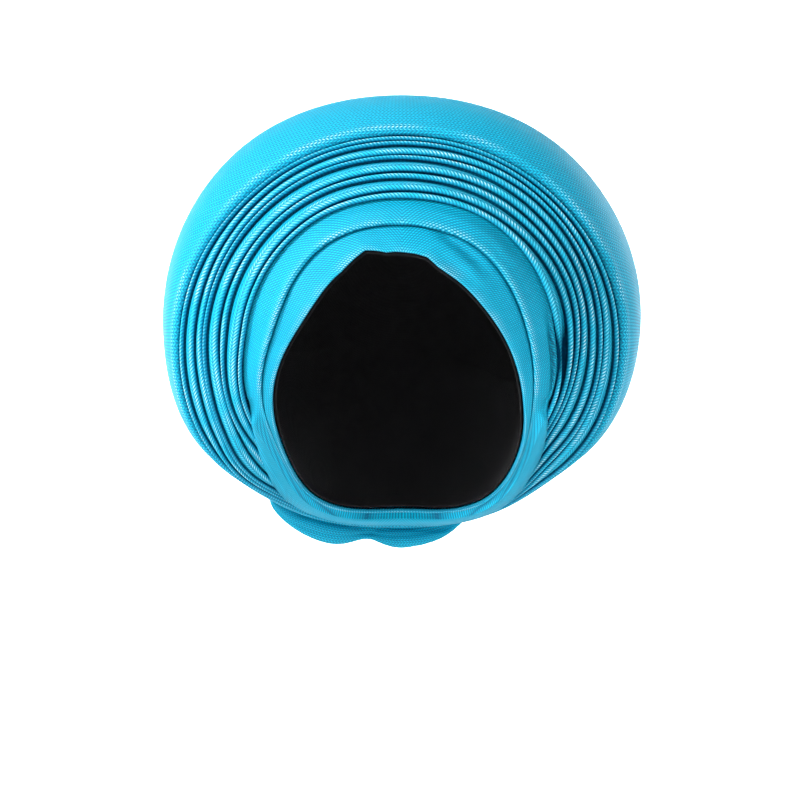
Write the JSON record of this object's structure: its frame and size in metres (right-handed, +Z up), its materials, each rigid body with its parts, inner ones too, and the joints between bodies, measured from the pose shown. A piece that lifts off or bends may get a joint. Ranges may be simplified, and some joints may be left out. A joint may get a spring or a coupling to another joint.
{
  "type": "head tie",
  "caption": "Tied head wrap with a wide fan of round pleats framing the face, a smooth brow wrap and a hood closed behind",
  "frame": {"origin": "the point inside the cap that rests on the crown of the wearer's head", "axes": "+Z up, the wearer faces -Y, +X to the right as seen from in front"},
  "size_m": [0.2677, 0.1997, 0.2555],
  "materials": {
    "turquoise_cloth": "coarse braided twill with a soft sheen",
    "black_lining": "matt thin black jersey"
  },
  "bodies": {
    "root": {"liner_cap": "black_lining", "brow_wrap": "turquoise_cloth", "pleat_1": "turquoise_cloth", "pleat_2": "turquoise_cloth", "pleat_3": "turquoise_cloth", "pleat_4": "turquoise_cloth", "pleat_5": "turquoise_cloth", "pleat_6": "turquoise_cloth", "pleat_7": "turquoise_cloth", "pleat_8": "turquoise_cloth", "outer_wrap": "turquoise_cloth", "nape_knot": "turquoise_cloth"}
  },
  "joints": []
}
